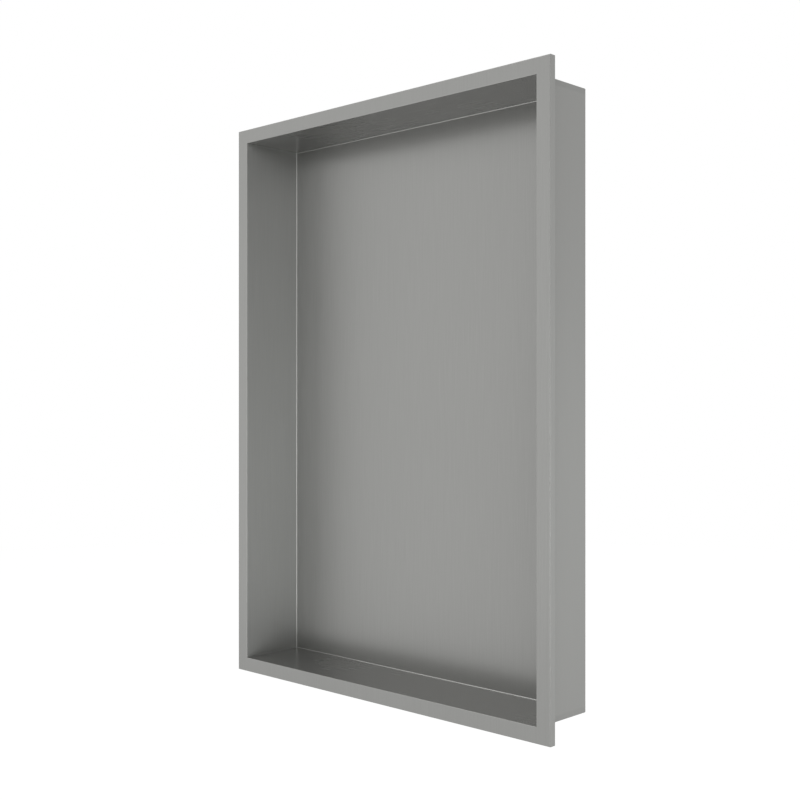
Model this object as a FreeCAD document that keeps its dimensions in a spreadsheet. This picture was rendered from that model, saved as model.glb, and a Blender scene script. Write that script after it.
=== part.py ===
# Shower niche insert: one sheet of stainless steel, folded and welded at its corners
#
# Frame: +X to the right, +Y into the wall, +Z up, in millimetres.
# Origin: the centre of the back panel's outer face, which is bonded to the wall board.

import FreeCAD, Part
import os

import Sketcher

# Two lengths closer than this are the same
NEAR = 1e-4

# Driving dimensions
SIZES = {
    "frame_width": (430.0, "frame, left to right"),
    "frame_height": (600.0, "frame, bottom to top"),
    "overall_depth": (74.0, "front of the frame to the back of the box"),
    "face_width": (15.0, "face of the frame, from its outer edge to the mouth"),
    "return_depth": (7.0, "front of the frame to the rear edge of its return lip"),
    "sheet_thickness": (1.0, "stainless steel sheet"),
    "back_fold_radius": (1.0, "inside of the folds between the back panel and the walls"),
    "mouth_fold_radius": (0.4, "outside of the grooved folds between the walls and the face"),
    "return_fold_radius": (0.9, "outside of the grooved folds between the face and the lip"),
    "corner_ease_radius": (0.4, "ground welds down the outside corners of box and frame"),
}

# Sizes that follow from the driving ones
FRAME_WIDTH = "Sizes.frame_width"
FRAME_HEIGHT = "Sizes.frame_height"
MOUTH_WIDTH = "Sizes.frame_width - 2 * Sizes.face_width"
MOUTH_HEIGHT = "Sizes.frame_height - 2 * Sizes.face_width"
BOX_WIDTH = MOUTH_WIDTH + " + 2 * Sizes.sheet_thickness"
BOX_HEIGHT = MOUTH_HEIGHT + " + 2 * Sizes.sheet_thickness"
LIP_INSIDE_WIDTH = "Sizes.frame_width - 2 * Sizes.sheet_thickness"
LIP_INSIDE_HEIGHT = "Sizes.frame_height - 2 * Sizes.sheet_thickness"
LIP_REAR = "Sizes.overall_depth - Sizes.return_depth"
CHANNEL_DEPTH = "Sizes.return_depth - Sizes.sheet_thickness"
INSIDE_DEPTH = "Sizes.overall_depth - Sizes.sheet_thickness"
BACK_FOLD_OUTSIDE = "Sizes.back_fold_radius + Sizes.sheet_thickness"


def make_sheet(doc):
    """Put every driving dimension in a spreadsheet, each with its alias."""
    sheet = doc.addObject("Spreadsheet::Sheet", "Sizes")
    for row, (alias, (value, meaning)) in enumerate(SIZES.items(), 1):
        sheet.set("A%d" % row, alias)
        sheet.set("B%d" % row, str(value))
        sheet.set("C%d" % row, meaning)
        sheet.setAlias("B%d" % row, alias)
    doc.recompute()
    return sheet


def size(doc, expression):
    """Work out a size from the spreadsheet, in millimetres."""
    return float(doc.Sizes.evalExpression(expression))


def origin_plane(body, role):
    """Find one of the body's own origin planes."""
    for feature in body.Origin.OriginFeatures:
        if feature.Role == role:
            return feature
    raise RuntimeError("no origin plane " + role)


def upright_sketch(body, name, distance):
    """Add a sketch parallel to the back panel, at a distance in front of its outer face."""
    sketch = body.newObject("Sketcher::SketchObject", name)
    sketch.AttachmentSupport = [(origin_plane(body, "XZ_Plane"), "")]
    sketch.MapMode = "FlatFace"
    sketch.setExpression("AttachmentOffset.Base.z", distance)
    return sketch


def add_rectangle(sketch, name, width, height):
    """Draw a rectangle centred on the sketch's origin, with its two sizes bound to the sheet."""
    corners = [
        FreeCAD.Vector(-1, -1, 0),
        FreeCAD.Vector(1, -1, 0),
        FreeCAD.Vector(1, 1, 0),
        FreeCAD.Vector(-1, 1, 0),
    ]
    first = sketch.GeometryCount
    for index, corner in enumerate(corners):
        sketch.addGeometry(Part.LineSegment(corner, corners[(index + 1) % 4]), False)
    bottom, right, top, left = range(first, first + 4)
    for line, following in ((bottom, right), (right, top), (top, left), (left, bottom)):
        sketch.addConstraint(Sketcher.Constraint("Coincident", line, 2, following, 1))
    for line in (bottom, top):
        sketch.addConstraint(Sketcher.Constraint("Horizontal", line))
    for line in (right, left):
        sketch.addConstraint(Sketcher.Constraint("Vertical", line))
    sketch.addConstraint(Sketcher.Constraint("Symmetric", bottom, 1, top, 1, -1, 1))
    across = sketch.addConstraint(Sketcher.Constraint("DistanceX", bottom, 1, bottom, 2, 2))
    upward = sketch.addConstraint(Sketcher.Constraint("DistanceY", right, 1, right, 2, 2))
    sketch.renameConstraint(across, name + "_width")
    sketch.renameConstraint(upward, name + "_height")
    sketch.setExpression("Constraints.%s_width" % name, width)
    sketch.setExpression("Constraints.%s_height" % name, height)


def pad(body, name, sketch, length, backwards=False):
    """Add the sketch's outline as solid, towards the room unless backwards."""
    feature = body.newObject("PartDesign::Pad", name)
    feature.Profile = sketch
    feature.setExpression("Length", length)
    feature.Reversed = backwards
    body.Document.recompute()
    return feature


def pocket(body, name, sketch, length, forwards, area):
    """Cut the sketch's outline away, and stop if it didn't take its area times its length."""
    before = body.Shape.Volume
    feature = body.newObject("PartDesign::Pocket", name)
    feature.Profile = sketch
    feature.setExpression("Length", length)
    feature.Reversed = forwards
    body.Document.recompute()
    taken = before - body.Shape.Volume
    expected = area * feature.Length.Value
    if abs(taken - expected) > 1e-6 * expected:
        raise RuntimeError("%s took %.3f mm3, not %.3f" % (name, taken, expected))
    return feature


def fold(body, name, base, edges, radius):
    """Round the named edges of the base feature to the radius of a fold or a ground weld."""
    feature = body.newObject("PartDesign::Fillet", name)
    feature.Base = (base, edges)
    feature.setExpression("Radius", radius)
    body.Document.recompute()
    return feature


def rim_edges(shape, plane_y, width, height):
    """Name the four straight edges of a centred rectangle that lies in the plane Y = plane_y."""
    names = []
    for number, edge in enumerate(shape.Edges, 1):
        middle = edge.CenterOfMass
        upright = abs(abs(middle.x) - width / 2) < NEAR and abs(middle.z) < NEAR
        level = abs(abs(middle.z) - height / 2) < NEAR and abs(middle.x) < NEAR
        if abs(middle.y - plane_y) < NEAR and (upright or level):
            names.append("Edge%d" % number)
    if len(names) != 4:
        raise RuntimeError("expected four rim edges, found %d" % len(names))
    return names


def corner_edges(shape, width, height, thickness):
    """Name the outside edges in the mitre planes, where the box and the frame are welded."""
    names = []
    for number, edge in enumerate(shape.Edges, 1):
        middle = edge.CenterOfMass
        inset = width / 2 - abs(middle.x)
        in_mitre_plane = abs(height / 2 - abs(middle.z) - inset) < NEAR
        inside_lip = abs(inset - thickness) < NEAR
        if in_mitre_plane and not inside_lip:
            names.append("Edge%d" % number)
    return names


def niche_shell(doc):
    """Build the whole niche: the box, the frame round its mouth and the frame's return lip."""
    body = doc.addObject("PartDesign::Body", "niche_shell")
    frame_width = size(doc, FRAME_WIDTH)
    frame_height = size(doc, FRAME_HEIGHT)
    box_width = size(doc, BOX_WIDTH)
    box_height = size(doc, BOX_HEIGHT)
    mouth_width = size(doc, MOUTH_WIDTH)
    mouth_height = size(doc, MOUTH_HEIGHT)
    thickness = size(doc, "Sizes.sheet_thickness")
    face_y = -size(doc, "Sizes.overall_depth")

    # Box, solid so far, with the outside of the folds round its back panel
    box_outline = upright_sketch(body, "BoxOutline", "0 mm")
    add_rectangle(box_outline, "box", BOX_WIDTH, BOX_HEIGHT)
    box = pad(body, "Box", box_outline, "Sizes.overall_depth")
    back_rim = rim_edges(box.Shape, 0, box_width, box_height)
    fold(body, "BackFoldOutside", box, back_rim, BACK_FOLD_OUTSIDE)

    # Frame, as deep as its return lip
    frame_outline = upright_sketch(body, "FrameOutline", "Sizes.overall_depth")
    add_rectangle(frame_outline, "frame", FRAME_WIDTH, FRAME_HEIGHT)
    frame = pad(body, "Frame", frame_outline, "Sizes.return_depth", backwards=True)
    face_rim = rim_edges(frame.Shape, face_y, frame_width, frame_height)
    fold(body, "ReturnFold", frame, face_rim, "Sizes.return_fold_radius")

    # Open channel behind the face, between the box and the return lip
    channel_outline = upright_sketch(body, "ChannelOutline", LIP_REAR)
    add_rectangle(channel_outline, "lip", LIP_INSIDE_WIDTH, LIP_INSIDE_HEIGHT)
    add_rectangle(channel_outline, "box", BOX_WIDTH, BOX_HEIGHT)
    lip_area = size(doc, LIP_INSIDE_WIDTH) * size(doc, LIP_INSIDE_HEIGHT)
    channel_area = lip_area - box_width * box_height
    channel = pocket(body, "Channel", channel_outline, CHANNEL_DEPTH, True, channel_area)

    # Welds ground smooth down the outside corners
    welds = corner_edges(channel.Shape, frame_width, frame_height, thickness)
    fold(body, "GroundCorners", channel, welds, "Sizes.corner_ease_radius")

    # Cavity, with the inside of the back folds and the crisp edge of the mouth
    mouth_outline = upright_sketch(body, "MouthOutline", "Sizes.overall_depth")
    add_rectangle(mouth_outline, "mouth", MOUTH_WIDTH, MOUTH_HEIGHT)
    mouth_area = mouth_width * mouth_height
    cavity = pocket(body, "Cavity", mouth_outline, INSIDE_DEPTH, False, mouth_area)
    panel_rim = rim_edges(cavity.Shape, -thickness, mouth_width, mouth_height)
    back_fold = fold(body, "BackFoldInside", cavity, panel_rim, "Sizes.back_fold_radius")
    mouth_rim = rim_edges(back_fold.Shape, face_y, mouth_width, mouth_height)
    body.Tip = fold(body, "MouthFold", back_fold, mouth_rim, "Sizes.mouth_fold_radius")
    doc.recompute()
    return body


def check_document(doc, pieces):
    """Stop on any failed object, or a piece that isn't one valid solid."""
    for item in doc.Objects:
        if "Invalid" in item.State or "Error" in item.State:
            raise RuntimeError("failed object: " + item.Name)
    for piece in pieces:
        if piece.Shape.isNull() or not piece.Shape.isValid():
            raise RuntimeError("bad shape: " + piece.Label)
        if len(piece.Shape.Solids) != 1:
            raise RuntimeError("%s has %d solids" % (piece.Label, len(piece.Shape.Solids)))


def main():
    """Build the document, check it and write one file for each piece."""
    doc = FreeCAD.newDocument("ShowerNicheInsert")
    make_sheet(doc)
    pieces = [niche_shell(doc)]
    check_document(doc, pieces)
    os.makedirs("parts", exist_ok=True)
    for piece in pieces:
        piece.Shape.exportStep("parts/%s.step" % piece.Label)
        box = piece.Shape.BoundBox
        lengths = (piece.Label, box.XLength, box.YLength, box.ZLength, piece.Shape.Volume / 1000)
        print("%s: %.1f x %.1f x %.1f mm, %.1f cm3" % lengths)


main()
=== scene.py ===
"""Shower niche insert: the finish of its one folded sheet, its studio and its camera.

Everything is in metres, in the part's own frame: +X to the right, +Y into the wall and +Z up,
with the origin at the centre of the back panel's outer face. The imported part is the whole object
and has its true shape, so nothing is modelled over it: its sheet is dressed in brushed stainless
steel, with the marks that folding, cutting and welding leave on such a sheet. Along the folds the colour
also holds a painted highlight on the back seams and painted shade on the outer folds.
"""

import logging
import math
from collections.abc import Iterable, Sequence
from dataclasses import dataclass
from enum import Enum
from typing import ClassVar

import bmesh
import bpy
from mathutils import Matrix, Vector


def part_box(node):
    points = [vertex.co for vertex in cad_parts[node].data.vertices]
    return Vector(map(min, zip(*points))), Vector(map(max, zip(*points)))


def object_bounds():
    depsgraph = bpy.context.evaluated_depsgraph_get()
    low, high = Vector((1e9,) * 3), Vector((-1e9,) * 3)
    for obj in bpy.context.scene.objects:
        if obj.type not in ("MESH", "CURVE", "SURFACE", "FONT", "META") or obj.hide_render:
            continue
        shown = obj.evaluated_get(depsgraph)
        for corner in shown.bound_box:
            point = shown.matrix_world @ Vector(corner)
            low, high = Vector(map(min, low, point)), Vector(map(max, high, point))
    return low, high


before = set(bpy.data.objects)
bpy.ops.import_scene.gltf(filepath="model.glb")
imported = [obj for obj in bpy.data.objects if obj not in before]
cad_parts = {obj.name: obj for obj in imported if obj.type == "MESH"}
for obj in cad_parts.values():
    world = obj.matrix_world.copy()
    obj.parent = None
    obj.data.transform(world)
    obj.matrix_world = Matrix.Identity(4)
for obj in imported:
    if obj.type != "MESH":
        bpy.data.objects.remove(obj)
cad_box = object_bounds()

Socket = bpy.types.NodeSocket
Node = bpy.types.Node
Value = float | Socket
Colour = tuple[float, float, float]

MM = 0.001
LOG = logging.getLogger("niche")


class PortKind(Enum):
    """What a named input or output of an effect carries."""

    NUMBER = "NodeSocketFloat"
    VECTOR = "NodeSocketVector"


class GrainRun(Enum):
    """The way that the brushing runs over a wall of the niche, as the axis that it follows."""

    UPRIGHT = 2
    SIDEWAYS = 0


@dataclass(frozen=True)
class Port:
    """One named input or output of an effect."""

    name: str
    kind: PortKind = PortKind.NUMBER
    value: float | None = None


class NodeBench:
    """Lays nodes into one tree and wires them. Most methods give the socket that they make."""

    def __init__(self, tree: bpy.types.NodeTree) -> None:
        """Take the tree that the nodes go into.

        Args:
            tree: A material's, a world's or a group's node tree.
        """
        self.tree = tree

    def node(self, kind: str, **settings: object) -> Node:
        """Add one node.

        Args:
            kind: Blender's name for the type of node.
            settings: Properties of the node, by name.

        Returns:
            The new node.
        """
        made = self.tree.nodes.new(kind)
        for name, value in settings.items():
            setattr(made, name, value)
        return made

    def feed(self, socket: Socket, value: Value | Sequence[float]) -> None:
        """Link a socket to another, or set it to a constant.

        Args:
            socket: The input to feed.
            value: The output to link it to, or a number or a few numbers.
        """
        if isinstance(value, bpy.types.NodeSocket):
            self.tree.links.new(value, socket)
        else:
            socket.default_value = value

    def math(self, operation: str, first: Value, second: Value = 0.0) -> Socket:
        """Add a Math node.

        Args:
            operation: The node's operation.
            first: Its first number.
            second: Its second number, which some operations ignore.

        Returns:
            The result.
        """
        made = self.node("ShaderNodeMath", operation=operation)
        self.feed(made.inputs[0], first)
        self.feed(made.inputs[1], second)
        return made.outputs["Value"]

    def multiply_vectors(self, first: Socket, second: Socket) -> Socket:
        """Multiply two vectors, part by part.

        Args:
            first: One vector.
            second: The other.

        Returns:
            Their product.
        """
        made = self.node("ShaderNodeVectorMath", operation="MULTIPLY")
        self.feed(made.inputs[0], first)
        self.feed(made.inputs[1], second)
        return made.outputs["Vector"]

    def split(self, vector: Socket) -> tuple[Socket, Socket, Socket]:
        """Part a vector into its numbers.

        Args:
            vector: The vector.

        Returns:
            Its X, Y and Z.
        """
        made = self.node("ShaderNodeSeparateXYZ")
        self.feed(made.inputs["Vector"], vector)
        return made.outputs["X"], made.outputs["Y"], made.outputs["Z"]

    def join(self, x: Value, y: Value, z: Value) -> Socket:
        """Make a vector.

        Args:
            x: Its X.
            y: Its Y.
            z: Its Z.

        Returns:
            The vector.
        """
        made = self.node("ShaderNodeCombineXYZ")
        for name, value in zip("XYZ", (x, y, z)):
            self.feed(made.inputs[name], value)
        return made.outputs["Vector"]

    def span(self, value: Value, start: Value, end: Value, low: Value = 0.0, high: Value = 1.0,
             curve: str = "LINEAR") -> Socket:
        """Map a number from one span to another, and hold it at the ends.

        Args:
            value: The number to map.
            start: Where the first span begins.
            end: Where it ends.
            low: The result at the start.
            high: The result at the end.
            curve: LINEAR, or SMOOTHSTEP for a soft start and end.

        Returns:
            The mapped number.
        """
        made = self.node("ShaderNodeMapRange", interpolation_type=curve, clamp=True)
        for name, given in zip(("Value", "From Min", "From Max", "To Min", "To Max"),
                               (value, start, end, low, high)):
            self.feed(made.inputs[name], given)
        return made.outputs["Result"]

    def largest(self, values: Iterable[Value]) -> Socket:
        """Compare several numbers.

        Args:
            values: The numbers.

        Returns:
            The largest of them.
        """
        first, *others = values
        for other in others:
            first = self.math("MAXIMUM", first, other)
        return first

    def product(self, values: Iterable[Value]) -> Socket:
        """Multiply several numbers.

        Args:
            values: The numbers.

        Returns:
            Their product.
        """
        first, *others = values
        for other in others:
            first = self.math("MULTIPLY", first, other)
        return first

    def noise(self, vector: Socket, detail: float) -> Socket:
        """Add smooth noise of about one bump to each unit of the vector.

        Args:
            vector: Where the noise is read.
            detail: How many finer layers it has.

        Returns:
            A number that is mostly from 0.3 to 0.7.
        """
        made = self.node("ShaderNodeTexNoise", noise_dimensions="3D")
        self.feed(made.inputs["Vector"], vector)
        self.feed(made.inputs["Scale"], 1.0)
        self.feed(made.inputs["Detail"], detail)
        return made.outputs["Fac"]

    def blend_colours(self, factor: Value, first: Value | Sequence[float],
                      second: Value | Sequence[float]) -> Socket:
        """Blend two colours.

        Args:
            factor: 0 for the first colour and 1 for the second.
            first: A colour with its alpha, or a socket.
            second: The same.

        Returns:
            The blended colour.
        """
        made = self.node("ShaderNodeMix", data_type="RGBA")
        shown = {socket.name: socket for socket in made.inputs if socket.enabled}
        self.feed(shown["Factor"], factor)
        self.feed(shown["A"], first)
        self.feed(shown["B"], second)
        return next(socket for socket in made.outputs if socket.enabled)

    def place(self, effect: "Effect", **values: Value) -> Node:
        """Place an effect's group, with values of its own.

        Args:
            effect: The effect to place.
            values: Its inputs, by name in lower case with underscores.

        Returns:
            The group's node, whose outputs have the effect's names.
        """
        made = self.node("ShaderNodeGroup", node_tree=effect.group())
        for name, value in values.items():
            self.feed(made.inputs[name.replace("_", " ").title()], value)
        return made


class Effect:
    """A finish effect kept as one shader node group, built when it is first placed."""

    name: str
    inputs: tuple[Port, ...]
    outputs: tuple[Port, ...]

    def group(self) -> bpy.types.NodeTree:
        """Build the effect's node group, if it isn't there yet.

        Returns:
            The group's tree.
        """
        existing = bpy.data.node_groups.get(self.name)
        if existing:
            return existing
        tree = bpy.data.node_groups.new(self.name, "ShaderNodeTree")
        for port in self.inputs:
            socket = tree.interface.new_socket(port.name, in_out="INPUT", socket_type=port.kind.value)
            if port.value is not None:
                socket.default_value = port.value
        for port in self.outputs:
            tree.interface.new_socket(port.name, in_out="OUTPUT", socket_type=port.kind.value)
        bench = NodeBench(tree)
        entry = bench.node("NodeGroupInput")
        leaving = bench.node("NodeGroupOutput")
        for name, socket in self.wire(bench, entry.outputs).items():
            bench.feed(leaving.inputs[name], socket)
        return tree

    def wire(self, bench: NodeBench, given: bpy.types.NodeOutputs) -> dict[str, Socket]:
        """Lay the effect's nodes.

        Args:
            bench: The bench over the group's tree.
            given: The group's inputs, by name.

        Returns:
            The socket for each of the group's outputs, by name.
        """
        raise NotImplementedError


class WallFacing(Effect):
    """Tells which way a wall faces: the level walls up or down, and the back and frame forward."""

    name = "Wall Facing"
    inputs = (Port("Normal", PortKind.VECTOR),)
    outputs = (Port("Level"), Port("Front"))

    def wire(self, bench: NodeBench, given: bpy.types.NodeOutputs) -> dict[str, Socket]:
        """Mark where the face is turned more than half a right angle, up or down, or front or rear.

        Args:
            bench: The bench over the group's tree.
            given: The group's inputs, by name.

        Returns:
            The marks for the level walls and for the front and rear ones.
        """
        _, forward, upward = (bench.math("ABSOLUTE", part) for part in bench.split(given["Normal"]))
        half_turned = math.sqrt(0.5)
        return {
            "Level": bench.math("GREATER_THAN", upward, half_turned),
            "Front": bench.math("GREATER_THAN", forward, half_turned),
        }


class SheetGrain(Effect):
    """Brushing in long thin streaks, along the length of each wall.

    The back panel, the frame's face and the side walls are brushed upright. The top and bottom
    walls, which are level, are brushed from side to side.
    """

    name = "Sheet Grain"
    inputs = (
        Port("Position", PortKind.VECTOR),
        Port("Normal", PortKind.VECTOR),
        Port("Pitch", value=0.5 * MM),
        Port("Length", value=60 * MM),
    )
    outputs = (Port("Streak"),)

    NOISE_LOW = 0.28
    NOISE_HIGH = 0.72
    NOISE_DETAIL = 2.0

    def streaks(self, bench: NodeBench, given: bpy.types.NodeOutputs, run: GrainRun) -> Socket:
        """Stretch noise along one axis.

        Args:
            bench: The bench over the group's tree.
            given: The group's inputs.
            run: The way that the streaks run.

        Returns:
            The streaks, from 0 to 1.
        """
        parts = [bench.math("DIVIDE", 1.0, given["Pitch"])] * 3
        parts[run.value] = bench.math("DIVIDE", 1.0, given["Length"])
        stretched = bench.multiply_vectors(given["Position"], bench.join(*parts))
        noise = bench.noise(stretched, self.NOISE_DETAIL)
        return bench.span(noise, self.NOISE_LOW, self.NOISE_HIGH)

    def wire(self, bench: NodeBench, given: bpy.types.NodeOutputs) -> dict[str, Socket]:
        """Take the upright streaks, or the sideways ones where the wall is level.

        Args:
            bench: The bench over the group's tree.
            given: The group's inputs, by name.

        Returns:
            The streaks, from 0 to 1.
        """
        level = bench.place(WallFacing(), normal=given["Normal"]).outputs["Level"]
        upright = self.streaks(bench, given, GrainRun.UPRIGHT)
        sideways = self.streaks(bench, given, GrainRun.SIDEWAYS)
        return {"Streak": bench.span(level, 0.0, 1.0, upright, sideways)}


class FoldMask(Effect):
    """Marks the line along each fold, where the face turns away from the flat walls. The steel paints a
    highlight into its colour there along the back seams, and paints shade there on the outer folds.
    """

    name = "Fold Mask"
    inputs = (Port("Normal", PortKind.VECTOR),)
    outputs = (Port("Fold"),)

    FLAT = 0.9995
    TURNED = 0.97

    def wire(self, bench: NodeBench, given: bpy.types.NodeOutputs) -> dict[str, Socket]:
        """Mark where no part of the normal is near 1.

        Args:
            bench: The bench over the group's tree.
            given: The group's inputs, by name.

        Returns:
            The mark along each fold.
        """
        parts = [bench.math("ABSOLUTE", part) for part in bench.split(given["Normal"])]
        return {"Fold": bench.span(bench.largest(parts), self.FLAT, self.TURNED, curve="SMOOTHSTEP")}


class SheetRegions(Effect):
    """The regions of the sheet: inside the mouth, brushed, cut and welded."""

    name = "Sheet Regions"
    inputs = (
        Port("Position", PortKind.VECTOR),
        Port("Normal", PortKind.VECTOR),
        Port("Mouth Half Width"),
        Port("Mouth Half Height"),
        Port("Frame Half Width"),
        Port("Frame Half Height"),
        Port("Front"),
        Port("Thickness"),
        Port("Weld Band"),
    )
    outputs = (Port("Mouth"), Port("Brushed Side"), Port("Cut Edge"), Port("Weld"))

    REAR_FACING = 0.9
    WELD_CORE = 0.6

    def wire(self, bench: NodeBench, given: bpy.types.NodeOutputs) -> dict[str, Socket]:
        """Tell the regions apart by where they are, half a sheet's thickness either way.

        Args:
            bench: The bench over the group's tree.
            given: The group's inputs, by name.

        Returns:
            The mark for each region.
        """
        x, y, z = bench.split(given["Position"])
        across = bench.math("ABSOLUTE", x)
        upward = bench.math("ABSOLUTE", z)
        half = bench.math("MULTIPLY", given["Thickness"], 0.5)
        width, height = given["Mouth Half Width"], given["Mouth Half Height"]
        in_mouth = bench.product((
            bench.math("LESS_THAN", across, bench.math("ADD", width, half)),
            bench.math("LESS_THAN", upward, bench.math("ADD", height, half)),
            bench.math("LESS_THAN", y, bench.math("MULTIPLY", half, -1.0)),
        ))
        on_face = bench.math("LESS_THAN", y, bench.math("ADD", given["Front"], half))
        lip_width = bench.math("SUBTRACT", given["Frame Half Width"], half)
        lip_height = bench.math("SUBTRACT", given["Frame Half Height"], half)
        past_lip = bench.largest((
            bench.math("GREATER_THAN", across, lip_width),
            bench.math("GREATER_THAN", upward, lip_height),
        ))
        near_lip = bench.largest((
            bench.math("GREATER_THAN", across, bench.math("SUBTRACT", lip_width, given["Thickness"])),
            bench.math("GREATER_THAN", upward, bench.math("SUBTRACT", lip_height, given["Thickness"])),
        ))
        _, facing_rear, _ = bench.split(given["Normal"])
        cut = bench.product((near_lip, bench.math("GREATER_THAN", facing_rear, self.REAR_FACING)))
        brushed = bench.largest((in_mouth, on_face, past_lip))
        box_corner = self.from_corner(bench, (across, upward), (width, height), given["Thickness"])
        core = bench.math("MULTIPLY", given["Weld Band"], self.WELD_CORE)
        ground = bench.span(box_corner, given["Weld Band"], core, curve="SMOOTHSTEP")
        weld = bench.product((ground, bench.math("SUBTRACT", 1.0, brushed)))
        return {"Mouth": in_mouth, "Brushed Side": brushed, "Cut Edge": cut, "Weld": weld}

    @staticmethod
    def from_corner(bench: NodeBench, place: tuple[Socket, Socket], halves: tuple[Socket, Socket],
                    thickness: Socket) -> Socket:
        """Measure how far a point is from the box's nearest outside corner.

        Args:
            bench: The bench over the group's tree.
            place: The point's distances from the middle, across and upward.
            halves: The mouth's half width and half height.
            thickness: The sheet's thickness, between the mouth and the box's outside.

        Returns:
            The larger of the two distances, across and upward.
        """
        gaps = []
        for distance, half in zip(place, halves):
            corner = bench.math("ADD", half, thickness)
            gaps.append(bench.math("ABSOLUTE", bench.math("SUBTRACT", distance, corner)))
        return bench.largest(gaps)


class HandlingHaze(Effect):
    """Soft wide patches where the sheet was wiped and handled."""

    name = "Handling Haze"
    inputs = (Port("Position", PortKind.VECTOR), Port("Patch", value=120 * MM))
    outputs = (Port("Haze"),)

    DETAIL = 3.0
    LOW = 0.3
    HIGH = 0.7

    def wire(self, bench: NodeBench, given: bpy.types.NodeOutputs) -> dict[str, Socket]:
        """Read soft noise, a patch to each bump.

        Args:
            bench: The bench over the group's tree.
            given: The group's inputs, by name.

        Returns:
            The haze, from 0 to 1.
        """
        each = bench.math("DIVIDE", 1.0, given["Patch"])
        noise = bench.noise(bench.multiply_vectors(given["Position"], bench.join(each, each, each)),
                            self.DETAIL)
        return {"Haze": bench.span(noise, self.LOW, self.HIGH, curve="SMOOTHSTEP")}


@dataclass(frozen=True)
class SheetSizes:
    """The sizes of the niche that its finish follows, from its box and its sheet."""

    half_width: float
    half_height: float
    front: float
    face_width: float = 15 * MM
    thickness: float = 1.0 * MM
    weld_band: float = 7 * MM

    @property
    def mouth_half_width(self) -> float:
        """Half the width of the mouth."""
        return self.half_width - self.face_width

    @property
    def mouth_half_height(self) -> float:
        """Half the height of the mouth."""
        return self.half_height - self.face_width


@dataclass(frozen=True)
class Streaks:
    """One scale of brushing: how fine and long its streaks are, and what each changes."""

    pitch: float
    length: float
    tone: float
    roughness: float
    height: float


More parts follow.
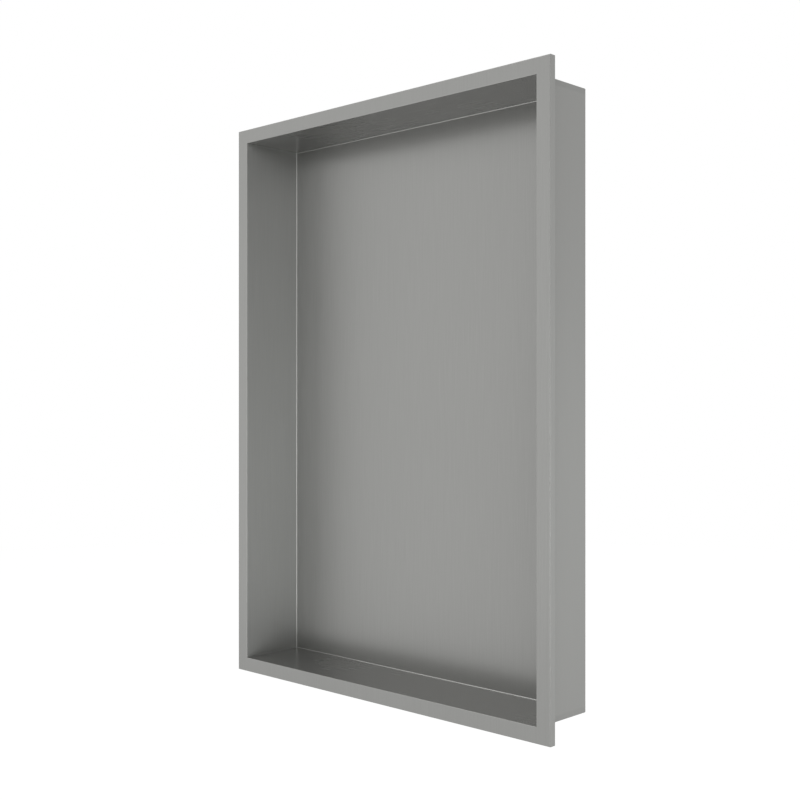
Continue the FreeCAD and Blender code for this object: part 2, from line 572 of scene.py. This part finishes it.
@dataclass(frozen=True)
class BrushedSteel:
    """Stainless sheet, brushed on the side towards the room and left from the mill behind.

    Tones are shares of the base colour. Roughness values are added to the sheet's own. The mill's
    and the level walls' streaks are shares of the brushing on the back panel.
    """

    name: str = "brushed_steel"
    colour: Colour = (0.300, 0.300, 0.291)
    tone_reach: float = 0.25
    roughness: float = 0.45
    anisotropy: float = 0.9
    level_roughness: float = -0.18
    level_streaks: float = 0.15
    front_roughness: float = -0.05
    hairlines: Streaks = Streaks(0.45 * MM, 45 * MM, tone=0.08, roughness=0.04, height=0.0012 * MM)
    bands: Streaks = Streaks(4.0 * MM, 420 * MM, tone=0.010, roughness=0.02, height=0.012 * MM)
    haze_patch: float = 150 * MM
    haze_tone: float = 0.006
    haze_roughness: float = 0.015
    mill_tone: float = -0.02
    mill_roughness: float = 0.02
    mill_streaks: float = 0.3
    # painted highlight: brightens the base colour along the back panel's inner seams, where the folds shine
    painted_seam_highlight: float = 0.12
    seam_roughness: float = -0.05
    # painted shade: darkens the base colour on the outer folds, dimming their highlight
    painted_fold_shade: float = -0.08
    edge_roughness: float = 0.05
    cut_tone: float = -0.12
    cut_roughness: float = 0.12
    weld_tone: float = -0.03
    weld_roughness: float = 0.06

    def material(self, sizes: SheetSizes) -> bpy.types.Material:
        """Build the sheet's material.

        Args:
            sizes: The niche's sizes, which place the brushed side, the cut edge and the welds.

        Returns:
            The material.
        """
        made = bpy.data.materials.new(self.name)
        made.use_nodes = True
        made.node_tree.nodes.clear()
        bench = NodeBench(made.node_tree)
        coordinates = bench.node("ShaderNodeTexCoord")
        place, normal = coordinates.outputs["Object"], coordinates.outputs["Normal"]
        shader = bench.node("ShaderNodeBsdfPrincipled")
        shader.inputs["Metallic"].default_value = 1.0
        shader.inputs["Anisotropic"].default_value = self.anisotropy
        tone, roughness, height = self.surface(bench, place, normal, sizes)
        bench.feed(shader.inputs["Base Color"], self.toned(bench, tone))
        bench.feed(shader.inputs["Roughness"], roughness)
        bench.feed(shader.inputs["Normal"], self.relief(bench, height))
        bench.feed(shader.inputs["Tangent"], self.across_grain(bench, normal))
        output = bench.node("ShaderNodeOutputMaterial")
        bench.feed(output.inputs["Surface"], shader.outputs["BSDF"])
        return made

    def surface(self, bench: NodeBench, place: Socket, normal: Socket,
                sizes: SheetSizes) -> tuple[Socket, Socket, Socket]:
        """Work out the sheet's tone, roughness and relief at each point.

        Args:
            bench: The bench over the material's tree.
            place: The point.
            normal: The face's normal there.
            sizes: The niche's sizes.

        Returns:
            The tone, the roughness and the height, in metres.
        """
        fold = bench.place(FoldMask(), normal=normal).outputs["Fold"]
        regions = bench.place(
            SheetRegions(), position=place, normal=normal,
            mouth_half_width=sizes.mouth_half_width, mouth_half_height=sizes.mouth_half_height,
            frame_half_width=sizes.half_width, frame_half_height=sizes.half_height,
            front=sizes.front, thickness=sizes.thickness, weld_band=sizes.weld_band,
        ).outputs
        mill = bench.math("SUBTRACT", 1.0, regions["Brushed Side"])
        facing = bench.place(WallFacing(), normal=normal).outputs
        seam = bench.product((fold, regions["Mouth"]))
        haze = bench.place(HandlingHaze(), position=place, patch=self.haze_patch).outputs["Haze"]
        brushing = bench.product((
            bench.span(mill, 0.0, 1.0, 1.0, self.mill_streaks),
            bench.span(facing["Level"], 0.0, 1.0, 1.0, self.level_streaks),
        ))
        tone, roughness, height = 0.0, self.roughness, 0.0
        for scale in (self.hairlines, self.bands):
            streak = bench.place(SheetGrain(), position=place, normal=normal,
                                 pitch=scale.pitch, length=scale.length).outputs["Streak"]
            swing = bench.product((bench.math("SUBTRACT", streak, 0.5), brushing))
            tone = self.more(bench, tone, swing, scale.tone)
            roughness = self.more(bench, roughness, swing, scale.roughness)
            height = self.more(bench, height, swing, scale.height)
        shares = (
            (bench.math("SUBTRACT", haze, 0.5), self.haze_tone, self.haze_roughness),
            (mill, self.mill_tone, self.mill_roughness),
            (facing["Level"], 0.0, self.level_roughness),
            (facing["Front"], 0.0, self.front_roughness),
            # painted highlight along the back seams and painted shade on the outer folds, both in the base
            # colour
            (seam, self.painted_seam_highlight, self.seam_roughness),
            (bench.math("SUBTRACT", fold, seam), self.painted_fold_shade, self.edge_roughness),
            (regions["Cut Edge"], self.cut_tone, self.cut_roughness),
            (regions["Weld"], self.weld_tone, self.weld_roughness),
        )
        for mask, toned, roughened in shares:
            tone = self.more(bench, tone, mask, toned)
            roughness = self.more(bench, roughness, mask, roughened)
        return tone, roughness, height

    @staticmethod
    def more(bench: NodeBench, total: Value, mask: Socket, share: float) -> Socket:
        """Add a share of a mask to a running total."""
        return bench.math("ADD", total, bench.math("MULTIPLY", mask, share))

    def toned(self, bench: NodeBench, tone: Socket) -> Socket:
        """Darken or brighten the base colour.

        Args:
            bench: The bench over the material's tree.
            tone: The share to brighten it by, below 0 where it is darker.

        Returns:
            The colour.
        """
        ends = [[part * (1 + way * self.tone_reach) for part in self.colour] + [1.0] for way in (-1, 1)]
        factor = bench.span(tone, -self.tone_reach, self.tone_reach)
        return bench.blend_colours(factor, *ends)

    @staticmethod
    def relief(bench: NodeBench, height: Socket) -> Socket:
        """Turn a height into a normal.

        Args:
            bench: The bench over the material's tree.
            height: The height, in metres.

        Returns:
            The normal.
        """
        bump = bench.node("ShaderNodeBump")
        bench.feed(bump.inputs["Strength"], 1.0)
        bench.feed(bump.inputs["Distance"], 1.0)
        bench.feed(bump.inputs["Height"], height)
        return bump.outputs["Normal"]

    @staticmethod
    def across_grain(bench: NodeBench, normal: Socket) -> Socket:
        """Give the direction across the brushing, along which its shine is spread.

        On the upright walls it is level, a quarter turn from the way that they face. On the level
        walls, whose strokes run from side to side, it is rearward.

        Args:
            bench: The bench over the material's tree.
            normal: The face's normal.

        Returns:
            The direction.
        """
        x, y, _ = bench.split(normal)
        level = bench.place(WallFacing(), normal=normal).outputs["Level"]
        return bench.join(y, bench.math("SUBTRACT", level, x), 0.0)


@dataclass
class NicheShell:
    """The niche itself: box, frame and return lip in one folded and welded sheet."""

    node: str = "niche_shell"
    finish: BrushedSteel = BrushedSteel()

    def sizes(self) -> SheetSizes:
        """Read the niche's half width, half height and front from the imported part."""
        low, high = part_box(self.node)
        return SheetSizes(half_width=(high.x - low.x) / 2, half_height=(high.z - low.z) / 2, front=low.y)

    def dress(self) -> bpy.types.Object:
        """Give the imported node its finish.

        Returns:
            The node's object.
        """
        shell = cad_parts[self.node]
        shell.material_slots[0].material = self.finish.material(self.sizes())
        return shell


@dataclass(frozen=True)
class Floor:
    """A plain pale floor, a long way below the niche, which hangs in a wall.

    It shows as white as the backdrop, to the eye and in the steel, and still takes a shadow: what
    it lacks to white where it is fully lit is added to what it shows, and a shadow takes it away.
    """

    name: str = "studio_floor"
    drop: float = 1.6
    radius: float = 12.0
    colour: Colour = (0.8, 0.8, 0.8)
    added: float = 0.2
    edges: int = 96

    def build(self) -> bpy.types.Object:
        """Make the floor.

        Returns:
            The floor's object.
        """
        shape = bmesh.new()
        bmesh.ops.create_circle(shape, cap_ends=True, segments=self.edges, radius=self.radius)
        bmesh.ops.translate(shape, verts=shape.verts, vec=Vector((0.0, 0.0, -self.drop)))
        mesh = bpy.data.meshes.new(self.name)
        shape.to_mesh(mesh)
        shape.free()
        mesh.materials.append(self.material())
        made = bpy.data.objects.new(self.name, mesh)
        bpy.context.scene.collection.objects.link(made)
        return made

    def material(self) -> bpy.types.Material:
        """Build the floor's matt white, topped up for the rays that see it as a backdrop.

        Returns:
            The material.
        """
        made = bpy.data.materials.new(self.name)
        made.use_nodes = True
        made.node_tree.nodes.clear()
        bench = NodeBench(made.node_tree)
        matt = bench.node("ShaderNodeBsdfDiffuse")
        bench.feed(matt.inputs["Color"], (*self.colour, 1.0))
        rays = bench.node("ShaderNodeLightPath").outputs
        seen = bench.largest(rays[name] for name in ("Is Camera Ray", "Is Glossy Ray", "Is Transmission Ray"))
        glow = bench.node("ShaderNodeEmission")
        bench.feed(glow.inputs["Strength"], bench.math("MULTIPLY", seen, self.added))
        both = bench.node("ShaderNodeAddShader")
        bench.feed(both.inputs[0], matt.outputs["BSDF"])
        bench.feed(both.inputs[1], glow.outputs["Emission"])
        output = bench.node("ShaderNodeOutputMaterial")
        bench.feed(output.inputs["Surface"], both.outputs["Shader"])
        return made


@dataclass(frozen=True)
class SoftLamp:
    """A large soft lamp that faces the niche.

    Azimuth is 0 in front of the niche and 90 on its right. Radiance is how bright the lamp's own
    face is, where 1 is white.
    """

    name: str
    azimuth: float
    elevation: float
    width: float
    height: float
    radiance: float
    colour: Colour = (1.0, 1.0, 1.0)
    distance: float = 2.6

    def build(self, target: Vector) -> bpy.types.Object:
        """Make the lamp.

        Args:
            target: The point that it faces.

        Returns:
            The lamp's object.
        """
        light = bpy.data.lights.new(self.name, "AREA")
        light.shape = "RECTANGLE"
        light.size = self.width
        light.size_y = self.height
        light.energy = self.radiance * math.pi * self.width * self.height
        light.color = self.colour
        made = bpy.data.objects.new(self.name, light)
        away = direction(self.azimuth, self.elevation)
        made.location = target + away * self.distance
        made.rotation_euler = away.to_track_quat("Z", "Y").to_euler()
        made.visible_camera = False
        bpy.context.scene.collection.objects.link(made)
        return made


@dataclass(frozen=True)
class Studio:
    """A white room's even light, with soft lamps round the front of the niche."""

    COOL: ClassVar[Colour] = (0.97, 1.0, 1.0)

    world_strength: float = 1.0
    floor: Floor = Floor()
    lamps: tuple[SoftLamp, ...] = (
        SoftLamp("key_lamp", 58.0, -9.0, width=2.4, height=1.1, radiance=1.8, colour=COOL),
        SoftLamp("upper_lamp", 48.0, 13.0, width=3.0, height=1.0, radiance=0.75, colour=COOL),
        SoftLamp("left_lamp", -45.0, 5.0, width=1.3, height=2.0, radiance=0.45),
        SoftLamp("high_left_lamp", -40.0, 50.0, width=2.0, height=1.4, radiance=1.2),
        SoftLamp("top_lamp", 25.0, 75.0, width=2.0, height=2.0, radiance=1.2),
    )

    def build(self, target: Vector) -> None:
        """Make the world, the floor and the lamps.

        Args:
            target: The point that the lamps face.
        """
        world = bpy.data.worlds.new("studio_world")
        world.use_nodes = True
        world.node_tree.nodes["Background"].inputs["Color"].default_value = (1.0, 1.0, 1.0, 1.0)
        world.node_tree.nodes["Background"].inputs["Strength"].default_value = self.world_strength
        bpy.context.scene.world = world
        self.floor.build()
        for lamp in self.lamps:
            lamp.build(target)


@dataclass(frozen=True)
class PortraitCamera:
    """The camera, level with the middle of the niche and off to its right."""

    name: str = "portrait_camera"
    azimuth: float = 43.819
    distance: float = 1.192
    aim: tuple[float, float, float] = (-0.00015, -0.03731, 0.00046)
    focal_length: float = 52.934
    sensor_width: float = 36.0
    nearest: float = 0.01
    farthest: float = 60.0

    def build(self) -> bpy.types.Object:
        """Make the camera and look through it.

        Returns:
            The camera's object.
        """
        lens = bpy.data.cameras.new(self.name)
        lens.sensor_width = self.sensor_width
        lens.lens = self.focal_length
        lens.clip_start = self.nearest
        lens.clip_end = self.farthest
        made = bpy.data.objects.new(self.name, lens)
        away = direction(self.azimuth, 0.0)
        made.location = Vector(self.aim) + away * self.distance
        made.rotation_euler = away.to_track_quat("Z", "Y").to_euler()
        bpy.context.scene.collection.objects.link(made)
        bpy.context.scene.camera = made
        return made


def direction(azimuth: float, elevation: float) -> Vector:
    """Point away from the niche.

    Args:
        azimuth: Degrees from straight in front, towards its right.
        elevation: Degrees above the horizon.

    Returns:
        A vector of length 1.
    """
    turn, rise = math.radians(azimuth), math.radians(elevation)
    level = math.cos(rise)
    return Vector((math.sin(turn) * level, -math.cos(turn) * level, math.sin(rise)))


def main() -> None:
    """Dress the niche, light it and look at it."""
    logging.basicConfig(level=logging.INFO, format="%(message)s", force=True)
    bpy.context.scene.view_settings.view_transform = "Standard"
    PortraitCamera().build()
    shell = NicheShell().dress()
    LOG.info("%s: %d faces in %s", shell.name, len(shell.data.polygons), shell.active_material.name)
    low, high = cad_box
    Studio().build((low + high) / 2)


if __name__ == "__main__":
    main()
